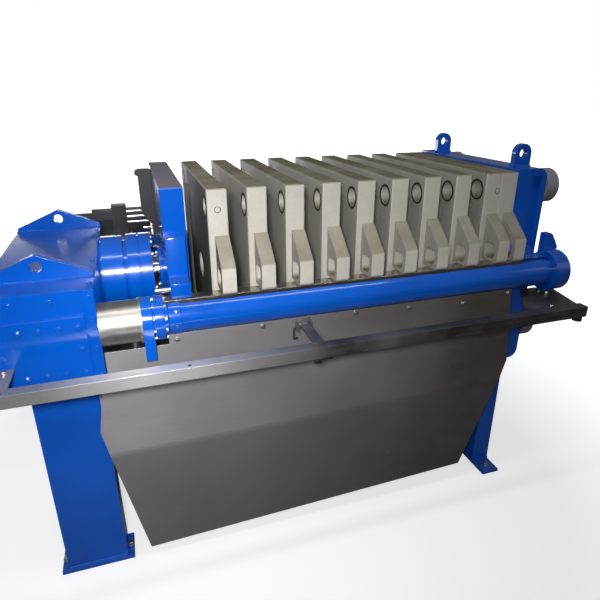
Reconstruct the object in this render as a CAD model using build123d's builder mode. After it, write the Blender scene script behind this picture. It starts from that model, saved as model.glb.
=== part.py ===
from build123d import *
import os

# Plate filter press with a side-bar frame, a hydraulic cylinder and a cake chute.
# The origin is on the floor, under the middle of the overall box.
# +X runs from the drive end towards the fixed head, -Y is the operator's side and +Z is up.
# All sizes are in millimetres.

# Small sizes that several pieces share
clearance = 0.3
overrun = 5
both_sides = ((-1, "front"), (1, "back"))

# Places that the rest follows
head_face_x = 854.25
bar_axis_z = 870
bar_gap = 55

# Chamber plates
plate_count = 9
plate_size = 630
plate_thickness = 58
plate_gap = 56
plate_centre_rise = 23
plate_chamfer = 3
end_plate_thickness = 66
chamber_rim = 62
chamber_depth = 12
chamber_corner = 70
port_inset_side = 46
port_inset_top = 57
port_radius = 26
port_ring_outer = 33
port_ring_inner = 29
port_ring_depth = 3
feed_radius = 45
handle_reach = 84
handle_width = 41
handle_root = 150
handle_nose = 75
handle_fillet = 12
handle_base = 10
window_length = 52
window_height = 52
window_nose = 18
window_fillet = 14

# Moving head, called the follower
follower_gap = 58
follower_thickness = 65
follower_inset = 30
follower_top = 5
follower_chamfer = 4
shoe_top = 45
shoe_skirt = 38
shoe_outer = 62
stud_radius = 7
stud_length = 20
stud_pitch = 21
stud_height = 16
stud_inset = 22

# Side bars
bar_radius = 49
bar_flat = 44
bar_overhang = 40
rail_width = 44
rail_thickness = 11
rail_chamfer = 2
cap_radius = 70
cap_length = 64.5
cap_chamfer = 9
sleeve_radius = 60
sleeve_length = 110
sleeve_rim = 8
sleeve_rim_radius = 64
gland_radius = 9
gland_length = 24
flange_plate = 28
flange_gap = 6
flange_ring = 26
flange_radius = 63
flange_tab_depth = 98

# Hydraulic cylinder on the middle line
rod_showing = 32
rod_radius = 45
piston_radius = 70
piston_length = 70
cylinder_tail = 9
cylinder_nose = 162
barrel_radius = 82
neck_radius = 108
collar_radius = 124
collar_length = 65
collar_neck = 10
gland_ring_radius = 127
gland_ring_length = 75
gland_groove = 6
gland_groove_length = 6
barrel_cap_length = 40
barrel_cap_radius = 100

# Drive head, a welded box that carries the cylinder
drive_length = 280
drive_side = 30
drive_bottom = 150
drive_top = 117
drive_end_plate = 25
drive_end_proud = 8
drive_cover_thickness = 12
drive_cover_inset = 22
drive_cover_gap = 6
drive_cover_height = 181
drive_cover_bottom = 16
drive_lug_inset = 110
drive_lug_thickness = 20
drive_lug_setback = 2
drive_lug_height = 73
drive_lug_shoulder = 14
drive_lug_hole = 15.5
drive_lug_hole_height = 40
drive_lug_tip = 16

# Fixed head
head_thickness = 118
head_top = 8
head_bottom = 78
head_fillet = 34
head_face_plate = 58
head_back_plate = 20
head_web_recess = 14
head_web_margin = 26
bar_seat_edge = 6
lug_inset = 73
lug_thickness = 22
lug_width = 64
lug_height = 75
lug_hole = 16
pipe_flange_radius = 58
pipe_flange_length = 46
pipe_flange_bore = 25
feed_flange_radius = 80
feed_flange_length = 60
feed_flange_bore = 40
gusset_thickness = 20
gusset_height = 80
gusset_tip = 29
gusset_inset = 30
gusset_fillet = 24

# Legs
head_leg_inset = 4
head_leg_length = 72
head_leg_width = 80
head_leg_side_gap = 16
head_foot_reach = 75
leg_foot_thickness = 12
leg_foot_margin = 20
drive_leg_proud = 27
drive_leg_thickness = 80
drive_leg_width = 185
drive_leg_inset = 28

# Cake chute of thin sheet
chute_sheet = 3
chute_bar_gap = 33
chute_top_drop = 40
chute_left_drop = 70
chute_left_gap = 5
chute_notch_gap = 3
chute_notch_drop = 5
chute_notch_step = 15
chute_taper_drop = 28
chute_fold_drop = 105
chute_bottom = 36
chute_bottom_rise = 47
chute_overlap = 28
chute_lap = 13
chute_head_gap = 20
chute_head_lap = 18
chute_head_lean = 30
chute_inset_side = 44
chute_inset_drive = 90
chute_inset_head = 116
chute_end_drop = 125
chute_end_notch = 20

# Square rails beside the chute
rail_tube = 35
rail_tube_wall = 3
rail_tube_gap = 124
rail_tube_drop = 26
rail_tube_right = 28
strap_thickness = 6
tie_drop = 8
tie_head_gap = 27
tie_end_gap = 45
tie_right = 62
tie_corner = 130
drive_tie_length = 42
hanger_thickness = 6
hanger_drop = 60
hanger_shares = (0.2, 0.45, 0.7, 0.93)
strap_width = 30
strap_share = 0.44

# Stroke rods and their block on the back
stroke_rod_radius = 6
stroke_rod_pitch = 21
stroke_rod_height = 108
stroke_rod_gap = 8
stroke_block_length = 55
stroke_block_width = 44
stroke_block_above = 28
stroke_block_gap = 13
stroke_strip_length = 150
stroke_strip_height = 31
stroke_strip_thickness = 8
post_thickness = 22
post_reach = 44
post_plate_height = 150
post_strip = 12
post_height = 230
post_inset = 127
post_top = 6
post_roller_drop = 12
post_roller_radius = 10
post_roller_length = 26

# Worked out places along the press
bar_spread = plate_size / 2 + bar_gap
rail_top_z = bar_axis_z + bar_flat + rail_thickness
plate_centre_z = bar_axis_z + plate_centre_rise
plate_top_z = plate_centre_z + plate_size / 2
plate_bottom_z = plate_centre_z - plate_size / 2
tail_left = head_face_x - end_plate_thickness
last_plate_left = tail_left - plate_thickness
plate_pitch = plate_thickness + plate_gap
first_plate_left = last_plate_left - (plate_count - 1) * plate_pitch
follower_right = first_plate_left - follower_gap
follower_left = follower_right - follower_thickness
follower_top_z = plate_top_z + follower_top
follower_width = plate_size - 2 * follower_inset
cylinder_right = follower_left - rod_showing
gland_left = cylinder_right - gland_ring_length
travel = follower_gap + (plate_count - 1) * plate_gap
rod_left = gland_left - travel
barrel_inside_left = rod_left - piston_length - cylinder_tail
cylinder_left = barrel_inside_left - barrel_cap_length
drive_right = cylinder_right - cylinder_nose
drive_left = drive_right - drive_length
drive_bottom_z = bar_axis_z - drive_bottom
drive_top_z = bar_axis_z + drive_top
drive_width = 2 * (bar_spread + drive_side)
drive_lug_spread = drive_width / 2 - drive_lug_inset
cover_left = drive_left + drive_cover_inset
cover_right = drive_right - drive_end_plate - drive_cover_gap
sleeve_right = drive_right + sleeve_length
bar_left = sleeve_right + flange_plate + flange_gap + flange_ring
head_back_x = head_face_x + head_thickness
bar_right = head_back_x + bar_overhang
head_top_z = plate_top_z + head_top
head_bottom_z = plate_bottom_z - head_bottom
head_width = plate_size
stroke_block_height = stroke_rod_height + 2 * stroke_rod_pitch + stroke_block_above
stroke_rod_points = [(bar_spread, bar_axis_z + stroke_rod_height + n * stroke_rod_pitch) for n in (0, 1, 2)]
head_lug_spread = head_width / 2 - lug_inset
seat_low = bar_axis_z - bar_radius - bar_seat_edge
port_y = plate_size / 2 - port_inset_side
port_z = plate_size / 2 - port_inset_top
port_points = [(y * port_y, plate_centre_z + z * port_z) for y in (-1, 1) for z in (-1, 1)]
middle_plane = Plane(origin=(0, 0, plate_centre_z), x_dir=(1, 0, 0), z_dir=(0, -1, 0))
middle_axis = Axis((0, 0, plate_centre_z), (1, 0, 0))
chute_left = drive_right - chute_overlap
chute_right = head_face_x - chute_head_gap
chute_half_width = bar_spread + chute_bar_gap
chute_half_width_low = chute_half_width - chute_inset_side
chute_top = bar_axis_z - chute_top_drop
chute_taper = plate_bottom_z - chute_taper_drop
chute_fold = plate_bottom_z - chute_fold_drop
chute_end_top = chute_top - chute_end_drop
chute_bottom_head = chute_bottom + chute_bottom_rise
rail_tube_axis = chute_half_width + rail_tube_gap + rail_tube / 2
rail_tube_top = chute_top - rail_tube_drop


def finish(part, name):
    """Label a finished piece and write it."""
    part.label = name
    export_step(part, f"parts/{name}.step")


def filter_plate(left, thickness, with_chambers):
    """Make one plate with its corner ports, feed hole, chambers and two handles."""
    right = left + thickness
    with BuildPart() as plate:
        with BuildSketch(Plane.YZ.offset(left)):
            with Locations((0, plate_centre_z)):
                Rectangle(plate_size, plate_size)
        extrude(amount=thickness)
        chamfer(plate.edges(), plate_chamfer)
        if with_chambers:
            with BuildSketch(Plane.YZ.offset(left), Plane.YZ.offset(right - chamber_depth)):
                with Locations((0, plate_centre_z)):
                    opening = plate_size - 2 * chamber_rim
                    RectangleRounded(opening, opening, chamber_corner)
            extrude(amount=chamber_depth, mode=Mode.SUBTRACT)
        with BuildSketch(Plane.YZ.offset(left)):
            with Locations(*port_points):
                Circle(port_ring_outer)
                Circle(port_ring_inner, mode=Mode.SUBTRACT)
        extrude(amount=port_ring_depth, mode=Mode.SUBTRACT)
        with BuildSketch(Plane.YZ.offset(left)):
            with Locations(*port_points):
                Circle(port_radius)
            with Locations((0, plate_centre_z)):
                Circle(feed_radius)
        extrude(amount=thickness, mode=Mode.SUBTRACT)
        edge_y = plate_size / 2
        base_z = rail_top_z + clearance
        with BuildSketch(Plane.YZ.offset(right - handle_width)) as outline:
            with BuildLine():
                Polyline(
                    (-edge_y, rail_top_z + handle_root),
                    (-edge_y - handle_reach, rail_top_z + handle_nose),
                    (-edge_y - handle_reach, base_z),
                    (-edge_y, base_z),
                    close=True,
                )
            make_face()
            fillet(outline.vertices().group_by(Axis.X)[0], handle_fillet)
            window_y = -edge_y - handle_reach + window_nose + window_length / 2
            with Locations((window_y, base_z + handle_base + window_height / 2)):
                RectangleRounded(window_length, window_height, window_fillet, mode=Mode.SUBTRACT)
            mirror(about=Plane.YZ)
        extrude(amount=handle_width)
    return plate.part


os.makedirs("parts", exist_ok=True)

# Filter plates and the plate against the fixed head
for number in range(1, plate_count + 1):
    left = first_plate_left + (number - 1) * plate_pitch
    finish(filter_plate(left, plate_thickness, True), f"filter_plate_{number}")
finish(filter_plate(tail_left, end_plate_thickness, False), "tail_plate")

# Follower with the shoes that ride on the bars
with BuildPart() as follower:
    with BuildSketch(Plane.YZ.offset(follower_left)):
        with Locations((0, plate_bottom_z)):
            Rectangle(follower_width, follower_top_z - plate_bottom_z, align=(Align.CENTER, Align.MIN))
    extrude(amount=follower_thickness)
    chamfer(follower.edges().filter_by(Axis.X), follower_chamfer)
finish(follower.part, "follower")

for side, side_name in both_sides:
    inner_y = follower_width / 2
    outer_y = bar_spread + shoe_outer
    with BuildPart() as shoe:
        with BuildSketch(Plane.YZ.offset(follower_left)):
            with Locations((side * (inner_y + outer_y) / 2, rail_top_z + shoe_top)):
                height = shoe_top + shoe_skirt + rail_thickness
                Rectangle(outer_y - inner_y, height, align=(Align.CENTER, Align.MAX))
            with Locations((side * bar_spread, bar_axis_z)):
                Circle(bar_radius + clearance, mode=Mode.SUBTRACT)
            with Locations((side * bar_spread, bar_axis_z)):
                Rectangle(
                    rail_width + 2 * clearance,
                    bar_flat + rail_thickness + clearance,
                    align=(Align.CENTER, Align.MIN),
                    mode=Mode.SUBTRACT,
                )
        extrude(amount=follower_thickness)
        chamfer(shoe.edges().filter_by(Axis.X).group_by(Axis.Z)[-1], follower_chamfer)
        with BuildSketch(Plane.YZ.offset(follower_left)):
            stud_y = side * (outer_y - stud_inset)
            stud_z = rail_top_z + stud_height
            with Locations((stud_y, stud_z), (stud_y, stud_z + stud_pitch)):
                Circle(stud_radius)
        extrude(amount=-stud_length)
    finish(shoe.part, f"follower_shoe_{side_name}")

# Post plate with a small roller on the drive side of the follower, and the plate that meets the stroke rods
with BuildPart() as post:
    post_top_z = follower_top_z - post_top
    post_y = follower_width / 2 - post_inset
    with BuildSketch(Plane.XZ.offset(-post_y)):
        with BuildLine():
            Polyline(
                (follower_left, post_top_z),
                (follower_left - post_reach, post_top_z),
                (follower_left - post_reach, post_top_z - post_plate_height),
                (follower_left - post_strip, post_top_z - post_plate_height - post_reach),
                (follower_left - post_strip, post_top_z - post_height),
                (follower_left, post_top_z - post_height),
                close=True,
            )
        make_face()
    extrude(amount=post_thickness / 2, both=True)
    with BuildSketch(Plane.XZ.offset(-post_y)):
        with Locations((follower_left - post_reach, post_top_z - post_roller_drop)):
            Circle(post_roller_radius)
    extrude(amount=post_roller_length / 2, both=True)
    with BuildSketch(Plane.YZ.offset(follower_left)):
        with Locations((bar_spread, rail_top_z + shoe_top)):
            plate_tall = stroke_block_height - bar_flat - rail_thickness - shoe_top
            Rectangle(stroke_block_width, plate_tall, align=(Align.CENTER, Align.MIN))
    extrude(amount=follower_thickness / 2)
finish(post.part, "roller_post")

# Piston rod, screwed to the follower
with BuildPart() as rod:
    with BuildSketch(middle_plane):
        with BuildLine():
            Polyline(
                (rod_left - piston_length, 0),
                (rod_left - piston_length, piston_radius - clearance),
                (rod_left, piston_radius - clearance),
                (rod_left, rod_radius - clearance),
                (follower_left, rod_radius - clearance),
                (follower_left, 0),
                close=True,
            )
        make_face()
    revolve(axis=middle_axis)
finish(rod.part, "piston_rod")

# Cylinder barrel with its collar and gland ring
collar_left = drive_right + collar_neck
with BuildPart() as barrel:
    with BuildSketch(middle_plane):
        with BuildLine():
            Polyline(
                (cylinder_left, 0),
                (cylinder_left, barrel_cap_radius),
                (barrel_inside_left, barrel_cap_radius),
                (barrel_inside_left, barrel_radius),
                (drive_right, barrel_radius),
                (drive_right, neck_radius),
                (collar_left, neck_radius),
                (collar_left, collar_radius),
                (collar_left + collar_length, collar_radius),
                (collar_left + collar_length, neck_radius),
                (gland_left, neck_radius),
                (gland_left, gland_ring_radius),
                (cylinder_right, gland_ring_radius),
                (cylinder_right, rod_radius),
                (gland_left, rod_radius),
                (gland_left, piston_radius),
                (barrel_inside_left, piston_radius),
                (barrel_inside_left, 0),
                close=True,
            )
        make_face()
        groove_x = (gland_left + cylinder_right) / 2
        with Locations((groove_x, gland_ring_radius)):
            Rectangle(gland_groove_length, 2 * gland_groove, mode=Mode.SUBTRACT)
    revolve(axis=middle_axis)
finish(barrel.part, "cylinder_barrel")

# Drive head box with a hole for the barrel
with BuildPart() as drive_head:
    with BuildSketch(Plane.YZ.offset(drive_left)):
        with Locations((0, drive_bottom_z)):
            Rectangle(drive_width, drive_top_z - drive_bottom_z, align=(Align.CENTER, Align.MIN))
    extrude(amount=drive_length)
    with BuildSketch(Plane.YZ.offset(drive_right)):
        with Locations((0, drive_bottom_z)):
            tall = drive_top_z - drive_bottom_z
            Rectangle(drive_width + 2 * drive_end_proud, tall, align=(Align.CENTER, Align.MIN))
    extrude(amount=-drive_end_plate)
    with BuildSketch(Plane.YZ.offset(drive_left)):
        with Locations((0, plate_centre_z)):
            Circle(barrel_radius)
    extrude(amount=drive_length, mode=Mode.SUBTRACT)
finish(drive_head.part, "drive_head")

# Bolted covers on the two sides of the drive head
with BuildPart() as covers:
    for side, side_name in both_sides:
        with BuildSketch(Plane.XZ.offset(-side * drive_width / 2)):
            with Locations((cover_left, drive_bottom_z + drive_cover_bottom)):
                Rectangle(cover_right - cover_left, drive_cover_height, align=(Align.MIN, Align.MIN))
        extrude(amount=-side * drive_cover_thickness)
    chamfer(covers.edges().filter_by(Axis.Y), plate_chamfer)
finish(covers.part, "drive_covers")

# Lifting lugs of the drive head
with BuildPart() as drive_lugs:
    lug_centre_x = (drive_left + drive_right) / 2
    half = drive_length / 2 - drive_lug_setback
    for side, side_name in both_sides:
        with BuildSketch(Plane.XZ.offset(-side * drive_lug_spread)) as lug_face:
            with BuildLine():
                Polyline(
                    (lug_centre_x - half, drive_top_z),
                    (lug_centre_x - half, drive_top_z + drive_lug_shoulder),
                    (lug_centre_x, drive_top_z + drive_lug_height),
                    (lug_centre_x + half, drive_top_z + drive_lug_shoulder),
                    (lug_centre_x + half, drive_top_z),
                    close=True,
                )
            make_face()
            fillet(lug_face.vertices().group_by(Axis.Y)[-1], drive_lug_tip)
            with Locations((lug_centre_x, drive_top_z + drive_lug_hole_height)):
                Circle(drive_lug_hole, mode=Mode.SUBTRACT)
        extrude(amount=drive_lug_thickness / 2, both=True)
finish(drive_lugs.part, "drive_lugs")

# Side bars with a milled flat for the rail
for side, side_name in both_sides:
    bar_y = side * bar_spread
    with BuildPart() as bar:
        with BuildSketch(Plane.YZ.offset(bar_left)):
            with Locations((bar_y, bar_axis_z)):
                Circle(bar_radius)
            with Locations((bar_y, bar_axis_z + bar_flat)):
                Rectangle(2 * bar_radius, bar_radius, align=(Align.CENTER, Align.MIN), mode=Mode.SUBTRACT)
        extrude(amount=bar_right - bar_left)
    finish(bar.part, f"side_bar_{side_name}")

# Wear rails that the plate handles slide on
with BuildPart() as rails:
    with BuildSketch(Plane.YZ.offset(bar_left)):
        with Locations(*[(side * bar_spread, bar_axis_z + bar_flat) for side, side_name in both_sides]):
            Rectangle(rail_width, rail_thickness, align=(Align.CENTER, Align.MIN))
    extrude(amount=head_face_x - bar_left)
    chamfer(rails.edges().filter_by(Axis.X).group_by(Axis.Z)[-1], rail_chamfer)
finish(rails.part, "wear_rails")

bar_centres = [(side * bar_spread, bar_axis_z) for side, side_name in both_sides]

# Closed round nuts that hold the bars behind the fixed head
with BuildPart() as caps:
    with BuildSketch(Plane.YZ.offset(head_back_x)):
        with Locations(*bar_centres):
            Circle(cap_radius)
    extrude(amount=cap_length)
    chamfer(caps.faces().group_by(Axis.X)[-1].edges(), cap_chamfer)
    with BuildSketch(Plane.YZ.offset(head_back_x)):
        with Locations(*bar_centres):
            Circle(bar_radius)
    extrude(amount=bar_overhang, mode=Mode.SUBTRACT)
finish(caps.part, "bar_caps")

# Load sleeves between the drive head and the bars, with a cable gland below
with BuildPart() as sleeves:
    with BuildSketch(Plane.YZ.offset(drive_right)):
        with Locations(*bar_centres):
            Circle(sleeve_radius)
    extrude(amount=sleeve_length)
    with BuildSketch(Plane.YZ.offset(sleeve_right - sleeve_rim)):
        with Locations(*bar_centres):
            Circle(sleeve_rim_radius)
    extrude(amount=sleeve_rim)
    with BuildSketch(Plane.XY.offset(bar_axis_z - sleeve_radius - gland_length)):
        gland_x = sleeve_right - sleeve_rim - 2 * gland_radius
        with Locations(*[(gland_x, side * bar_spread) for side, side_name in both_sides]):
            Circle(gland_radius)
    extrude(amount=gland_length + sleeve_radius)
finish(sleeves.part, "load_sleeves")

# Flange pairs that bolt the bars to the sleeves
for side, side_name in both_sides:
    bar_y = side * bar_spread
    with BuildPart() as flange:
        with BuildSketch(Plane.YZ.offset(sleeve_right)):
            with Locations((bar_y, bar_axis_z)):
                Circle(flange_radius)
            with Locations((bar_y + side * flange_radius, bar_axis_z)):
                tab_width = bar_spread + flange_radius - chute_half_width
                tab_align = Align.MIN if side < 0 else Align.MAX
                Rectangle(tab_width, flange_tab_depth, align=(tab_align, Align.MAX))
        extrude(amount=flange_plate)
        with BuildSketch(Plane.YZ.offset(sleeve_right + flange_plate)):
            with Locations((bar_y, bar_axis_z)):
                Circle(bar_radius)
        extrude(amount=flange_gap)
        with BuildSketch(Plane.YZ.offset(sleeve_right + flange_plate + flange_gap)):
            with Locations((bar_y, bar_axis_z)):
                Circle(flange_radius)
        extrude(amount=flange_ring)
    finish(flange.part, f"bar_flange_{side_name}")

# Fixed head: face plate, recessed web and back plate, with its back edges rounded
with BuildPart() as head:
    with BuildSketch(Plane.YZ.offset(head_face_x)) as head_outline:
        with Locations((0, head_bottom_z)):
            Rectangle(head_width, head_top_z - head_bottom_z, align=(Align.CENTER, Align.MIN))
        for side, side_name in both_sides:
            with Locations((side * (head_width / 2 + bar_spread) / 2, seat_low)):
                seat_tall = bar_flat + bar_radius + 2 * bar_seat_edge
                Rectangle(bar_spread - head_width / 2, seat_tall, align=(Align.CENTER, Align.MIN))
            with Locations((side * bar_spread, bar_axis_z)):
                Circle(bar_radius, mode=Mode.SUBTRACT)
    extrude(amount=head_thickness)
    cross_edges = head.edges().filter_by(Axis.Y).group_by(Axis.X)[-1].sort_by(Axis.Z)
    fillet([cross_edges[0], cross_edges[-1]], head_fillet)
    web_length = head_thickness - head_face_plate - head_back_plate
    for side, side_name in both_sides:
        with BuildSketch(Plane.YZ.offset(head_face_x + head_face_plate)):
            with Locations((side * head_width / 2, bar_axis_z + bar_radius + head_web_margin)):
                web_top = head_top_z - head_web_margin
                web_height = web_top - bar_axis_z - bar_radius - head_web_margin
                Rectangle(2 * head_web_recess, web_height, align=(Align.CENTER, Align.MIN))
        extrude(amount=web_length, mode=Mode.SUBTRACT)
    with BuildSketch(Plane.YZ.offset(head_face_x)):
        with Locations(*port_points):
            Circle(port_radius)
        with Locations((0, plate_centre_z)):
            Circle(feed_radius)
    extrude(amount=head_thickness, mode=Mode.SUBTRACT)
finish(head.part, "fixed_head")

# Gussets that stand on the nuts behind the fixed head
with BuildPart() as gussets:
    for side, side_name in both_sides:
        gusset_y = bar_spread - gusset_inset
        with BuildSketch(Plane.XZ.offset(-side * gusset_y)) as gusset_face:
            with BuildLine():
                Polyline(
                    (head_back_x, bar_axis_z),
                    (head_back_x, bar_axis_z + bar_radius + gusset_height),
                    (head_back_x + cap_length / 2, bar_axis_z + bar_radius + gusset_height),
                    (head_back_x + cap_length, bar_axis_z + bar_radius + gusset_tip),
                    (head_back_x + cap_length, bar_axis_z),
                    close=True,
                )
            make_face()
            fillet(gusset_face.vertices().group_by(Axis.Y)[-1].sort_by(Axis.X)[-1], gusset_fillet)
        extrude(amount=gusset_thickness / 2, both=True)
        with BuildSketch(Plane.YZ.offset(head_back_x)):
            with Locations((side * bar_spread, bar_axis_z)):
                Circle(cap_radius)
        extrude(amount=cap_length, mode=Mode.SUBTRACT)
        with BuildSketch(Plane.YZ.offset(head_back_x)):
            with Locations((side * gusset_y, bar_axis_z)):
                Rectangle(2 * gusset_thickness, cap_radius, align=(Align.CENTER, Align.MAX))
        extrude(amount=cap_length, mode=Mode.SUBTRACT)
finish(gussets.part, "head_gussets")

# Lifting lugs of the fixed head
with BuildPart() as head_lugs:
    lug_x = head_face_x + head_thickness / 2
    for side, side_name in both_sides:
        with BuildSketch(Plane.XZ.offset(-side * head_lug_spread)):
            with Locations((lug_x, head_top_z)):
                Rectangle(lug_width, lug_height - lug_width / 2, align=(Align.CENTER, Align.MIN))
            with Locations((lug_x, head_top_z + lug_height - lug_width / 2)):
                Circle(lug_width / 2)
                Circle(lug_hole, mode=Mode.SUBTRACT)
            with Locations((lug_x, head_top_z)):
                Rectangle(lug_width, lug_width, align=(Align.CENTER, Align.MAX), mode=Mode.SUBTRACT)
        extrude(amount=lug_thickness / 2, both=True)
finish(head_lugs.part, "head_lugs")

# Pipe flanges on the back of the fixed head
with BuildPart() as pipes:
    with BuildSketch(Plane.YZ.offset(head_back_x)):
        with Locations(*port_points):
            Circle(pipe_flange_radius)
            Circle(pipe_flange_bore, mode=Mode.SUBTRACT)
    extrude(amount=pipe_flange_length)
finish(pipes.part, "port_flanges")

with BuildPart() as feed:
    with BuildSketch(Plane.YZ.offset(head_back_x)):
        with Locations((0, plate_centre_z)):
            Circle(feed_flange_radius)
            Circle(feed_flange_bore, mode=Mode.SUBTRACT)
    extrude(amount=feed_flange_length)
finish(feed.part, "feed_flange")

# Legs under the fixed head, with a foot plate that reaches outwards
for side, side_name in both_sides:
    with BuildPart() as leg:
        leg_outer = head_width / 2 - head_leg_side_gap
        leg_x = head_face_x + head_leg_inset + head_leg_length / 2
        with BuildSketch(Plane.XY):
            with Locations((leg_x, side * (leg_outer - head_leg_width / 2))):
                Rectangle(head_leg_length, head_leg_width)
        extrude(amount=head_bottom_z)
        with BuildSketch(Plane.XY):
            with Locations((leg_x, side * (leg_outer + (head_foot_reach - head_leg_width) / 2))):
                Rectangle(head_leg_length, head_leg_width + head_foot_reach)
        extrude(amount=leg_foot_thickness)
    finish(leg.part, f"head_leg_{side_name}")

# Legs under the drive head
for side, side_name in both_sides:
    with BuildPart() as leg:
        leg_x = drive_right - drive_leg_inset - drive_leg_width / 2
        foot_y = side * (head_width / 2 + drive_leg_proud - drive_leg_thickness / 2)
        with BuildSketch(Plane.XY):
            with Locations((leg_x, foot_y)):
                Rectangle(drive_leg_width, drive_leg_thickness)
        extrude(amount=drive_bottom_z)
        with BuildSketch(Plane.XY):
            with Locations((leg_x, foot_y)):
                Rectangle(drive_leg_width + 2 * leg_foot_margin, drive_leg_thickness + leg_foot_margin)
        extrude(amount=leg_foot_thickness)
    finish(leg.part, f"drive_leg_{side_name}")

# Long walls of the chute, folded inwards below and cut to one outline
wall_left = chute_left - chute_lap
wall_right = chute_right + chute_head_lap
wall_top_left = bar_axis_z - chute_left_drop
notch_z = drive_bottom_z - chute_notch_drop
for side, side_name in both_sides:
    with BuildPart() as wall:
        with BuildSketch(Plane.YZ.offset(wall_left)):
            with BuildLine():
                Polyline(
                    (side * chute_half_width, chute_top),
                    (side * chute_half_width, chute_fold),
                    (side * chute_half_width_low, chute_bottom),
                )
                inside = Side.LEFT if side < 0 else Side.RIGHT
                offset(amount=chute_sheet, side=inside, kind=Kind.INTERSECTION)
            make_face()
        extrude(amount=wall_right - wall_left)
        with BuildSketch(Plane.XZ):
            with BuildLine():
                Polyline(
                    (bar_left + chute_left_gap, chute_top),
                    (bar_left + chute_left_gap, wall_top_left),
                    (drive_right + chute_notch_gap, wall_top_left),
                    (drive_right + chute_notch_gap, notch_z),
                    (drive_right - chute_notch_step, notch_z),
                    (wall_left, chute_taper),
                    (wall_left + chute_inset_drive, chute_bottom),
                    (wall_right - chute_inset_head, chute_bottom_head),
                    (wall_right, chute_taper),
                    (wall_right - chute_head_lean, chute_top),
                    close=True,
                )
            make_face()
        extrude(amount=chute_half_width, both=True, mode=Mode.INTERSECT)
    finish(wall.part, f"chute_wall_{side_name}")

# End walls of the chute, cut out for the heads
chute_drop = chute_fold - chute_bottom
chute_ends = (
    ("drive", chute_left, chute_inset_drive, chute_bottom, drive_width / 2, drive_bottom_z),
    ("head", chute_right, -chute_inset_head, chute_bottom_head, head_width / 2, plate_bottom_z),
)
for end_name, end_x, end_inset, end_low, cut_half, cut_z in chute_ends:
    with BuildPart() as end_wall:
        with BuildSketch(Plane.XZ.offset(-chute_half_width)):
            with BuildLine():
                Polyline(
                    (end_x, chute_end_top),
                    (end_x, chute_taper),
                    (end_x + end_inset, end_low),
                )
                inside = Side.LEFT if end_inset > 0 else Side.RIGHT
                offset(amount=chute_sheet, side=inside, kind=Kind.INTERSECTION)
            make_face()
        extrude(amount=2 * chute_half_width)
        for side, side_name in both_sides:
            face = Plane((0, side * chute_half_width, chute_fold), x_dir=(1, 0, 0), z_dir=(0, side, 0))
            split(bisect_by=face.offset(-chute_sheet), keep=Keep.BOTTOM)
            slant = (0, side * chute_drop, -chute_inset_side)
            face = Plane((0, side * chute_half_width, chute_fold), x_dir=(1, 0, 0), z_dir=slant)
            split(bisect_by=face.offset(-chute_sheet), keep=Keep.BOTTOM)
        with BuildSketch(Plane.YZ.offset(end_x)):
            with Locations((0, cut_z - chute_end_notch)):
                cut_width = 2 * (cut_half + chute_end_notch)
                Rectangle(cut_width, chute_end_top, align=(Align.CENTER, Align.MIN))
        extrude(amount=abs(end_inset) + overrun, both=True, mode=Mode.SUBTRACT)
    finish(end_wall.part, f"chute_end_{end_name}")

# Plates inside the chute that hang it on the bars
with BuildPart() as hangers:
    for share in hanger_shares:
        for side, side_name in both_sides:
            with BuildSketch(Plane.YZ.offset(chute_left + share * (chute_right - chute_left))):
                with BuildLine():
                    Polyline(
                        (side * bar_spread, bar_axis_z),
                        (side * (chute_half_width - chute_sheet), chute_top),
                        (side * (chute_half_width - chute_sheet), bar_axis_z - bar_radius - hanger_drop),
                        (side * bar_spread, bar_axis_z - bar_radius - hanger_drop / 2),
                        close=True,
                    )
                make_face()
                with Locations((side * bar_spread, bar_axis_z)):
                    Circle(bar_radius, mode=Mode.SUBTRACT)
            extrude(amount=hanger_thickness)
finish(hangers.part, "chute_hangers")

# Square rails along the chute
rail_tube_left = drive_left
rail_tube_end = head_back_x + rail_tube_right
for side, side_name in both_sides:
    with BuildPart() as square_rail:
        with BuildSketch(Plane.YZ.offset(rail_tube_left)):
            with Locations((side * rail_tube_axis, rail_tube_top - rail_tube / 2)):
                Rectangle(rail_tube, rail_tube)
                hollow = rail_tube - 2 * rail_tube_wall
                Rectangle(hollow, hollow, mode=Mode.SUBTRACT)
        extrude(amount=rail_tube_end - rail_tube_left)
    finish(square_rail.part, f"square_rail_{side_name}")

# Flat straps from the chute to the top of the rails
rail_inner_y = rail_tube_axis - rail_tube / 2
with BuildPart() as straps:
    with BuildSketch(Plane.XY.offset(rail_tube_top)):
        for side, side_name in both_sides:
            strap_x = chute_left + strap_share * (chute_right - chute_left)
            with Locations((strap_x, side * (chute_half_width + rail_tube_axis) / 2)):
                Rectangle(strap_width, rail_tube_axis - chute_half_width)
    extrude(amount=strap_thickness)
finish(straps.part, "rail_brackets")

# Flat plates that tie the rails to the fixed head and the drive head
with BuildPart() as ties:
    tie_near = head_width / 2 + tie_head_gap
    for side, side_name in both_sides:
        with BuildSketch(Plane.XY.offset(rail_tube_top - tie_drop - strap_thickness)):
            with BuildLine():
                Polyline(
                    (head_face_x, side * rail_inner_y),
                    (head_face_x, side * (head_width / 2 + tie_corner)),
                    (head_face_x + head_thickness / 2, side * tie_near),
                    (head_back_x, side * tie_near),
                    (head_back_x + tie_right, side * (head_width / 2 + tie_end_gap)),
                    (rail_tube_end, side * rail_inner_y),
                    close=True,
                )
            make_face()
            cover_y = drive_width / 2 + drive_cover_thickness
            with Locations((cover_left, side * cover_y)):
                out = (Align.MIN, Align.MAX if side < 0 else Align.MIN)
                Rectangle(drive_tie_length, rail_inner_y - cover_y, align=out)
        extrude(amount=strap_thickness)
finish(ties.part, "tie_plates")

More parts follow.
